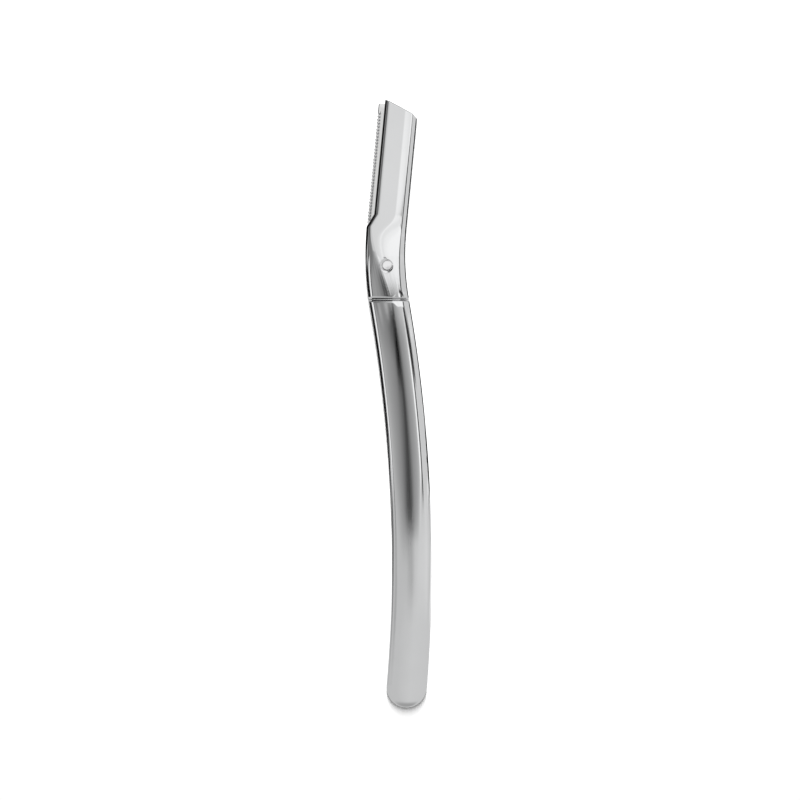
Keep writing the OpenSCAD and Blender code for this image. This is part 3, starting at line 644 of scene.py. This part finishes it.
def build_head_back():
    """The back cover with its step under the blade, the screws' seats and the leaf spring's trough."""
    shell = skin("head_back_shell", head_rings())
    rail_u, rail_z = SPINE_IN - SLIDE_PLAY, BLADE_Z - GUARD_H / 2 - SLIDE_PLAY
    cutters = [block((rail_u, -FAR, COVER_T), (FAR, FAR, FAR), ON_PLATE),
               block((-FAR, -FAR, COVER_T), (FAR, BLADE_V, FAR), ON_PLATE),
               block((-FAR, -FAR, rail_z), (FAR, FAR, FAR), ON_PLATE)]
    head_r, body_r, rim_top = SCREW_HEAD_R + SEAT_PLAY, SCREW_R + SEAT_PLAY, SEAT_PLAY + SCREW_RIM
    seat = [(head_r + SEAT_EDGE, -OVER), (head_r + SEAT_EDGE, 0), (head_r, SEAT_EDGE), (head_r, rim_top),
            (body_r, rim_top + head_r - body_r), (body_r, BAR_T)]
    cutters += [turned("cutter", seat, at, CUTTER_SIDES) for at in screw_frames()]
    half = LEAF_W / 2 + SEAT_PLAY
    cutters.append(block((-half, LEVER_Y - SEAT_PLAY, LEAF_Z),
                         (half, LEAF_END + LEAF_BEND_R + LEAF_T + SEAT_PLAY, COVER_T + OVER), AT_LEVER))
    return carve(shell, cutters)


def build_button():
    """The cap with a softened rim and a faint crown, its flange and its stem."""
    inner = BUTTON_R - RIM_R
    rim = rounded((BUTTON_R, BUTTON_TOP - RIM_R), (BUTTON_R, BUTTON_TOP), (inner, BUTTON_TOP))
    crown = [(inner * share, BUTTON_TOP + CROWN_H * (1 - share)) for share in (0.8, 0.6, 0.4, 0.2)]
    foot, top = LEVER_TOP + STEM_PLAY, FLANGE_Z + FLANGE_T
    stem = [(STEM_R - STEM_EDGE, foot), (STEM_R, foot + STEM_EDGE), (STEM_R, FLANGE_Z)]
    flange = [(FLANGE_R - FLANGE_EDGE, FLANGE_Z), (FLANGE_R, FLANGE_Z + FLANGE_EDGE),
              (FLANGE_R, top - FLANGE_EDGE), (FLANGE_R - FLANGE_EDGE, top), (BUTTON_R, top)]
    return turned("button_cap", stem + flange + rim + crown, AT_BUTTON)


# Materials

# Stretch of the grain: even, along the bar, and across it
EVEN, ALONG, ACROSS = (1, 1, 1), (3, 0.15, 3), (0.3, 3, 3)
# Noises: scale and detail of the slow drift, the fine grain, the scratches and the patches of wear
DRIFT_NOISE, GRAIN_NOISE, SCRATCH_NOISE, WEAR_NOISE = (90, 4), (1400, 2), (2600, 1), (260, 3)
SCRATCH_STRETCH = (2.4, 0.05, 2.4)
# Parts of a noise's values that count: its middle, what tints, what scratches and what wears
MIDDLE, TINTS, SCRATCHES, WEARS = (0.3, 0.7), (0.35, 0.7), (0.60, 0.72), (0.35, 0.65)
WEAR_LEAST, WEAR_ROUGH = 0.2, 0.1   # share of wear between the patches, and how rough full wear makes
TINT_DARK, TINT_SHARE = 0.93, 0.5   # darkest tint, and the share of it that drift and wear give each
RELIEF = 0.00002                    # depth of grain and scratches, in metres


def wire(tree, source, target):
    """Links two sockets."""
    tree.links.new(source, target)


def blank(name):
    """A new material, its node tree with nothing in it but an output, and that output."""
    material = bpy.data.materials.new(name)
    material.use_nodes = True
    tree = material.node_tree
    tree.nodes.clear()
    return material, tree, tree.nodes.new("ShaderNodeOutputMaterial")


def steel(name, color, roughness, spread_r, grain, scratch, smudge=0.0, bump=0.05):
    """A metal with drifting roughness, fine scratches along its length and edges that have lost polish."""
    material, tree, out = blank(name)
    shader = tree.nodes.new("ShaderNodeBsdfPrincipled")
    shader.inputs["Metallic"].default_value = 1.0
    wire(tree, shader.outputs[0], out.inputs["Surface"])
    where = tree.nodes.new("ShaderNodeTexCoord")

    def noise(scale, detail, stretch):
        turn = tree.nodes.new("ShaderNodeMapping")
        turn.inputs["Scale"].default_value = stretch
        texture = tree.nodes.new("ShaderNodeTexNoise")
        texture.inputs["Scale"].default_value = scale
        texture.inputs["Detail"].default_value = detail
        wire(tree, where.outputs["Object"], turn.inputs["Vector"])
        wire(tree, turn.outputs[0], texture.inputs["Vector"])
        return texture.outputs["Fac"]

    def remap(value, low, high, to_low=0, to_high=1):
        node = tree.nodes.new("ShaderNodeMapRange")
        numbers = {"From Min": low, "From Max": high, "To Min": to_low, "To Max": to_high}
        for socket, number in numbers.items():
            node.inputs[socket].default_value = number
        wire(tree, value, node.inputs["Value"])
        return node.outputs[0]

    def combined(operation, a, b):
        node = tree.nodes.new("ShaderNodeMath")
        node.operation = operation
        node.use_clamp = operation == "ADD"
        for socket, value in zip(node.inputs, (a, b)):
            if isinstance(value, (int, float)):
                socket.default_value = value
            else:
                wire(tree, value, socket)
        return node.outputs[0]

    drift = noise(*DRIFT_NOISE, EVEN)
    fine = noise(*GRAIN_NOISE, grain)
    lines = remap(noise(*SCRATCH_NOISE, SCRATCH_STRETCH), *SCRATCHES, 0, scratch)
    edge = tree.nodes.new("ShaderNodeAttribute")
    edge.attribute_name = "edge"
    patches = remap(noise(*WEAR_NOISE, EVEN), *WEARS, WEAR_LEAST, 1)
    worn = combined("MULTIPLY", edge.outputs["Fac"], patches)
    rough = combined("ADD", remap(drift, *MIDDLE, roughness - spread_r, roughness + spread_r),
                     combined("MULTIPLY", remap(fine, *MIDDLE), smudge))
    rough = combined("ADD", rough, lines)
    rough = combined("ADD", rough, combined("MULTIPLY", worn, WEAR_ROUGH))
    wire(tree, rough, shader.inputs["Roughness"])

    tint = tree.nodes.new("ShaderNodeMix")
    tint.data_type = "RGBA"
    tint.inputs["A"].default_value = (*color, 1)
    tint.inputs["B"].default_value = (*[c * TINT_DARK for c in color], 1)
    darker = combined("ADD", combined("MULTIPLY", remap(drift, *TINTS), TINT_SHARE),
                      combined("MULTIPLY", worn, TINT_SHARE))
    wire(tree, darker, tint.inputs["Factor"])
    wire(tree, tint.outputs["Result"], shader.inputs["Base Color"])

    relief = tree.nodes.new("ShaderNodeBump")
    relief.inputs["Strength"].default_value = bump
    relief.inputs["Distance"].default_value = RELIEF
    wire(tree, combined("ADD", fine, lines), relief.inputs["Height"])
    wire(tree, relief.outputs[0], shader.inputs["Normal"])
    return material


CHROME = steel("chrome", (0.80, 0.805, 0.81), 0.055, 0.02, EVEN, 0.04, bump=0.02)
CAP = steel("button_chrome", (0.86, 0.86, 0.865), 0.07, 0.02, EVEN, 0.04, bump=0.02)
COLLAR = steel("collar_chrome", (0.78, 0.785, 0.79), 0.10, 0.03, ALONG, 0.05, 0.03)
# Painted shade: the collar's hub deep in the groove, dark on the left and lighter grey on the right
HUB_SHADE = steel("collar_hub_painted_shade", (0.10, 0.10, 0.105), 0.35, 0.06, EVEN, 0.05)
HUB_HALF_SHADE = steel("collar_hub_painted_half_shade", (0.55, 0.55, 0.56), 0.25, 0.06, EVEN, 0.05)
GUARD = steel("guard_sheet", (0.93, 0.93, 0.925), 0.08, 0.03, ALONG, 0.06, 0.03)
EDGE = steel("blade_sheet", (0.62, 0.63, 0.65), 0.16, 0.04, ACROSS, 0.10, 0.06, bump=0.12)
INNER = steel("machined_steel", (0.56, 0.565, 0.57), 0.30, 0.06, ALONG, 0.12, 0.08, bump=0.2)
SPRING = steel("spring_steel", (0.40, 0.40, 0.415), 0.28, 0.06, ALONG, 0.12, 0.06, bump=0.15)


def paint_hub_shade(ring):
    """Gives the collar's hub, on both sides of its thin ring, painted shade: a dark metal left of the ridge
    and a lighter grey one right of it.
    """
    ring.data.materials.append(HUB_SHADE)
    ring.data.materials.append(HUB_HALF_SHADE)
    middle = SEAM.x + mix(-HALF_W, HALF_W, ROLL_SHARE)
    for face in ring.data.polygons:
        if abs(face.center.y / MM - SEAM.y) > RING_HALF:
            face.material_index = 1 if face.center.x / MM < middle else 2


finished(build_handle(), "razor", CHROME, "polished_shell", "handle")
finished(build_head_front(), "razor", CHROME, "polished_shell", "head_front")
finished(build_head_back(), "razor", CHROME, "polished_shell", "head_back")
finished(build_button(), "button", CAP, "polished_button", "release_button")
paint_hub_shade(dressed("seam_ring", "seam_collar", "razor", COLLAR, "collar", 0.05))
dressed("guard_strip", "comb_guard", "cartridge", GUARD, "guard_steel", 0.02)
dressed("blade_strip", "blade", "cartridge", EDGE, "blade_steel", 0.01, 1)
dressed("spine_bar", "blade_spine", "cartridge", INNER, "inner_steel", 0.05)
dressed("cover_screws", "head_screws", "razor", INNER, "inner_steel", 0.04)
dressed("lever_bar", "clamp_lever", "lever", INNER, "inner_steel", 0.05)
dressed("pivot_pin", "lever_pin", "razor", INNER, "inner_steel", 0.06)
HIDDEN = {"tang": INNER, "tang_pins": INNER, "lever_spring": SPRING, "spine_rivets": INNER}
for node, material in HIDDEN.items():
    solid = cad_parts[node]
    solid.data.materials.clear()
    solid.data.materials.append(material)


# Studio: white surroundings for the eye, and soft cards that only the polish sees. Places in millimetres

CENTRE = Vector((-2.81, 38.88, 3))
TENT, TENT_AROUND, TENT_ALONG = Vector((300, 450, 300)), 720, 240   # half sizes, and points each way
LAMP_AT, LAMP_SIZE, LAMP_W = (CENTRE.x, 405, 600), (0.02, 0.69), 7.4   # the size in metres
FLOOR_HALF, FLOOR_WHITE, FLOOR_GLOW = 3.0, 0.9, 0.07   # the first in metres
FILL = 0.22   # light from all around, for matt surfaces
CAMERA_Z, SENSOR, LENS, CLIP = 1204, 36, 225, (0.01, 20)   # the last in metres


def window(value, low, high, blur):
    """One between low and high, falling to zero over a blur on both sides."""
    return ease((value - low) / blur + 0.5) * ease((high - value) / blur + 0.5)


# Cards: (turn around the bar in degrees from straight up, light) stops, the blur at their ends in degrees,
# and where along the tent a card starts and ends: its Y straight up, its slant towards the side, its blur.
# A later card covers the earlier ones
OPEN = (900, 0, 1)
CARDS = [
    ([(-180, 1.05), (180, 1.05)], 1, (-900, 0, 1), OPEN),
    # plate and the right half of the neck
    ([(-7, 0.84), (1, 0.84), (6, 0.98)], 2, (88, 0, 7), OPEN),
    ([(9, 0.95), (12, 0.95)], 2, (88, 0, 12), OPEN),
    ([(15, 1.12), (30, 1.12)], 3, (98, 0, 12), OPEN),
    # lower handle
    ([(-120, 0.3), (-98, 0.3), (-84, 0.55), (-74, 0.55), (-66, 0.36), (-56, 0.4), (-50, 0.62),
      (-14, 0.6), (-7, 0.53), (1, 0.5), (10, 0.68), (20, 0.75), (60, 0.8), (100, 0.6)], 6,
     (-900, 0, 1), (4, 10, 17)),
    # face of the handle, and the dark streak along its ridge
    ([(-46, 0.62), (-34, 0.52), (-26, 0.41), (-18, 0.3), (-13, 0.2), (-8, 0.09), (0, 0.065), (3, 0.08)], 3,
     (-9, 7, 6), (71.5, 58, 5)),
    ([(2, 0.075), (4, 0.1), (9, 0.33), (16, 0.47), (20, 0.64)], 3, (-9, 7, 6), (72, 92, 10)),
    ([(-38, 0.42), (-28, 0.36), (-20, 0.26), (-17, 0.13), (-14, 0.06)], 3, (54, 42, 10), (66, 48, 5)),
    ([(-14, 0.003), (-7, 0.003)], 4, (41, 34, 12), (69, 45, 4)),
    ([(1, 0.22), (8, 0.4), (13, 0.57), (20, 0.72)], 3, (60, 46, 10), (72, 92, 10)),
    # neck, left of the ridge
    ([(-44, 0.3), (-36, 0.22), (-28, 0.22), (-22, 0.3), (-17, 0.42), (-10, 0.62), (-4, 0.84)], 3,
     (71.5, 58, 5), OPEN),
    ([(-12, 0.1), (-6, 0.08), (-3, 0.12)], 2, (60, 30, 6), (73.5, 78, 4)),
    # left outline of the handle and the low neck: the line, the bevel and the broken edge
    ([(-62, 0.1), (-47, 0.1)], 3, (-12, 0, 6), (20, 0, 8)),
    ([(-52, 0.1), (-39, 0.08)], 3, (20, 0, 8), (44, 0, 8)),
    ([(-85, 1.1), (-60, 1.1)], 3, (-4, 0, 6), (54, 0, 6)),
    ([(-130, 0.01), (-92, 0.01)], 2, (-13, 0, 4), (-2, 0, 6)),
    ([(-130, 0.01), (-88, 0.01)], 2, (-2, 0, 6), (60, 0, 6)),
    # the same of the high neck and the plate
    ([(-96, 0.5), (-91, 0.45), (-86, 0.12), (-70, 0.03), (-60, 0.2), (-50, 0.29), (-44, 0.32)], 2,
     (54, 0, 6), OPEN),
    ([(-135, 0.01), (-95, 0.01)], 2, (60, 0, 6), OPEN),
    # the guard's sheet, and the dark side of the countersink
    ([(-19, 0.62), (-15, 0.72), (-9, 0.74)], 2, (108, 0, 8), OPEN),
    ([(-84, 0.02), (-54, 0.02)], 3, (165, 0, 10), OPEN),
    # right outline of the handle
    ([(19.5, 1.25), (21.5, 1.25)], 2, (8, 13, 10), (50, 39, 10)),
    ([(24, 0.13), (46, 0.13)], 2, (0, 7, 8), (90, 0, 8)),
    ([(50, 0.74), (66, 0.72)], 3, (0, 10, 10), (90, 0, 8)),
    ([(72, 0.01), (130, 0.01)], 3, (8, 0, 6), (54, 0, 8)),
    # the same of the neck and the plate
    ([(22, 0.03), (58, 0.03)], 3, (68, 0, 8), (101, 0, 4)),
    ([(32, 0.1), (58, 0.1)], 3, (101, 0, 4), (200, 0, 30)),
    ([(61, 0.74), (82, 0.74)], 3, (60, 0, 8), (101, 0, 4)),
    ([(54, 0.72), (82, 0.74)], 3, (101, 0, 4), OPEN),
    ([(87, 0.01), (130, 0.01)], 3, (54, 0, 8), OPEN),
    # the round end
    ([(-180, 0.62), (-30, 0.64), (10, 0.72), (180, 0.68)], 1, (-900, 0, 1), (-27, -8, 12)),
    ([(-180, 0.42), (180, 0.42)], 1, (-900, 0, 1), (-330, 0, 120)),
]
# The card that the tip's raked edge mirrors: between which turns, from which Y of the tent on, its light
TIP_LOW, TIP_HIGH, TIP_FROM, TIP_LIGHT = 60, 120, 430, 0.01


def stop_light(turn, stops):
    """Light between two stops, or that of the nearest."""
    for (low, light_low), (high, light_high) in zip(stops, stops[1:]):
        if turn <= high:
            return mix(light_low, light_high, max((turn - low) / (high - low), 0))
    return stops[-1][1]


def seen_cards(turn):
    """The cards that reach a turn: how much they cover, their light, and their start and end on the tent."""
    aside = math.sin(math.radians(turn))
    seen = []
    for stops, blur, start, end in CARDS:
        share = window(turn, stops[0][0], stops[-1][0], blur)
        if share > 0:
            bounds = [(y + slant * aside, y_blur) for y, slant, y_blur in (start, end)]
            seen.append((share, stop_light(turn, stops), *bounds))
    return seen


def tent_light(y, cards):
    """Light of the tent at a Y, from the cards that reach its turn."""
    light = 0
    for share, card, (y_low, blur_low), (y_high, blur_high) in cards:
        cover = share * ease((y - y_low) / blur_low + 0.5) * ease((y_high - y) / blur_high + 0.5)
        light = mix(light, card, cover)
    return light


def build_tent():
    """A closed tent around the object that only glossy rays meet, lit by its cards."""
    turns = [360 * k / TENT_AROUND - 180 for k in range(TENT_AROUND)]
    seen = [seen_cards(turn) for turn in turns]
    points, lights = [], []
    for i in range(TENT_ALONG):
        lean = math.pi * ((i + 0.5) / TENT_ALONG - 0.5)
        y = TENT.y * math.sin(lean) + CENTRE.y
        for turn, cards in zip(turns, seen):
            angle = math.radians(turn)
            points.append((CENTRE.x + TENT.x * math.cos(lean) * math.sin(angle), y,
                           CENTRE.z + TENT.z * math.cos(lean) * math.cos(angle)))
            at_tip = y > TIP_FROM and TIP_LOW < turn < TIP_HIGH
            lights.append(TIP_LIGHT if at_tip else tent_light(y, cards))

    def point(i, k):
        return i * TENT_AROUND + k % TENT_AROUND

    faces = [(point(i, k), point(i, k + 1), point(i + 1, k + 1), point(i + 1, k))
             for i in range(TENT_ALONG - 1) for k in range(TENT_AROUND)]
    faces += [tuple(point(i, k) for k in range(TENT_AROUND)) for i in (0, TENT_ALONG - 1)]
    mesh = bpy.data.meshes.new("tent")
    mesh.from_pydata([Vector(p) * MM for p in points], [], faces)
    mesh.attributes.new("light", "FLOAT", "POINT").data.foreach_set("value", lights)
    material, tree, out = blank("tent_cards")
    glow = tree.nodes.new("ShaderNodeEmission")
    level = tree.nodes.new("ShaderNodeAttribute")
    level.attribute_name = "light"
    wire(tree, level.outputs["Fac"], glow.inputs["Strength"])
    wire(tree, glow.outputs[0], out.inputs["Surface"])
    material.cycles.emission_sampling = "NONE"
    mesh.materials.append(material)
    tent = placed("tent", mesh)
    for ray in ("camera", "diffuse", "transmission", "volume_scatter", "shadow"):
        setattr(tent, "visible_" + ray, False)


def build_floor():
    """A wide white floor that keeps a soft shadow, and that can be looked through from below."""
    mesh = bpy.data.meshes.new("floor")
    corners = [(x * FLOOR_HALF, y * FLOOR_HALF, 0) for x, y in ((-1, -1), (1, -1), (1, 1), (-1, 1))]
    mesh.from_pydata(corners, [], [(0, 1, 2, 3)])
    material, tree, out = blank("floor_white")
    plain = tree.nodes.new("ShaderNodeBsdfDiffuse")
    plain.inputs["Color"].default_value = (FLOOR_WHITE, FLOOR_WHITE, FLOOR_WHITE, 1)
    glow = tree.nodes.new("ShaderNodeEmission")
    glow.inputs["Strength"].default_value = FLOOR_GLOW
    both = tree.nodes.new("ShaderNodeAddShader")
    clear = tree.nodes.new("ShaderNodeBsdfTransparent")
    side = tree.nodes.new("ShaderNodeNewGeometry")
    pick = tree.nodes.new("ShaderNodeMixShader")
    wire(tree, plain.outputs[0], both.inputs[0])
    wire(tree, glow.outputs[0], both.inputs[1])
    wire(tree, side.outputs["Backfacing"], pick.inputs[0])
    wire(tree, both.outputs[0], pick.inputs[1])
    wire(tree, clear.outputs[0], pick.inputs[2])
    wire(tree, pick.outputs[0], out.inputs["Surface"])
    mesh.materials.append(material)
    floor = placed("floor", mesh)
    floor.visible_glossy = False


def build_world():
    """White for camera, mirror and clear rays, and a quieter fill for the rest."""
    world = bpy.data.worlds.new("studio")
    bpy.context.scene.world = world
    world.use_nodes = True
    tree = world.node_tree
    tree.nodes.clear()
    out = tree.nodes.new("ShaderNodeOutputWorld")
    back = tree.nodes.new("ShaderNodeBackground")
    path = tree.nodes.new("ShaderNodeLightPath")
    total = path.outputs["Is Camera Ray"]
    for name in ("Is Glossy Ray", "Is Transmission Ray"):
        add = tree.nodes.new("ShaderNodeMath")
        add.operation, add.use_clamp = "ADD", True
        wire(tree, total, add.inputs[0])
        wire(tree, path.outputs[name], add.inputs[1])
        total = add.outputs[0]
    level = tree.nodes.new("ShaderNodeMapRange")
    level.inputs["To Min"].default_value = FILL
    wire(tree, total, level.inputs["Value"])
    wire(tree, level.outputs[0], back.inputs["Strength"])
    wire(tree, back.outputs[0], out.inputs["Surface"])


def build_lamp():
    """A slim soft lamp beyond the head: its shadow falls past the round end and spares the long sides."""
    data = bpy.data.lights.new("strip", "AREA")
    data.shape, (data.size, data.size_y) = "RECTANGLE", LAMP_SIZE
    data.energy = LAMP_W
    lamp = placed("strip", data)
    lamp.location = Vector(LAMP_AT) * MM
    lamp.visible_glossy = False


def build_camera():
    """Straight above the razor, which lies on its back, with the head up in the picture."""
    data = bpy.data.cameras.new("camera")
    data.sensor_width, data.lens = SENSOR, LENS
    data.clip_start, data.clip_end = CLIP
    camera = placed("camera", data)
    camera.location = Vector((CENTRE.x, CENTRE.y, CAMERA_Z)) * MM
    bpy.context.scene.camera = camera


build_tent()
build_floor()
build_world()
build_lamp()
build_camera()
bpy.context.scene.view_settings.view_transform = "Standard"
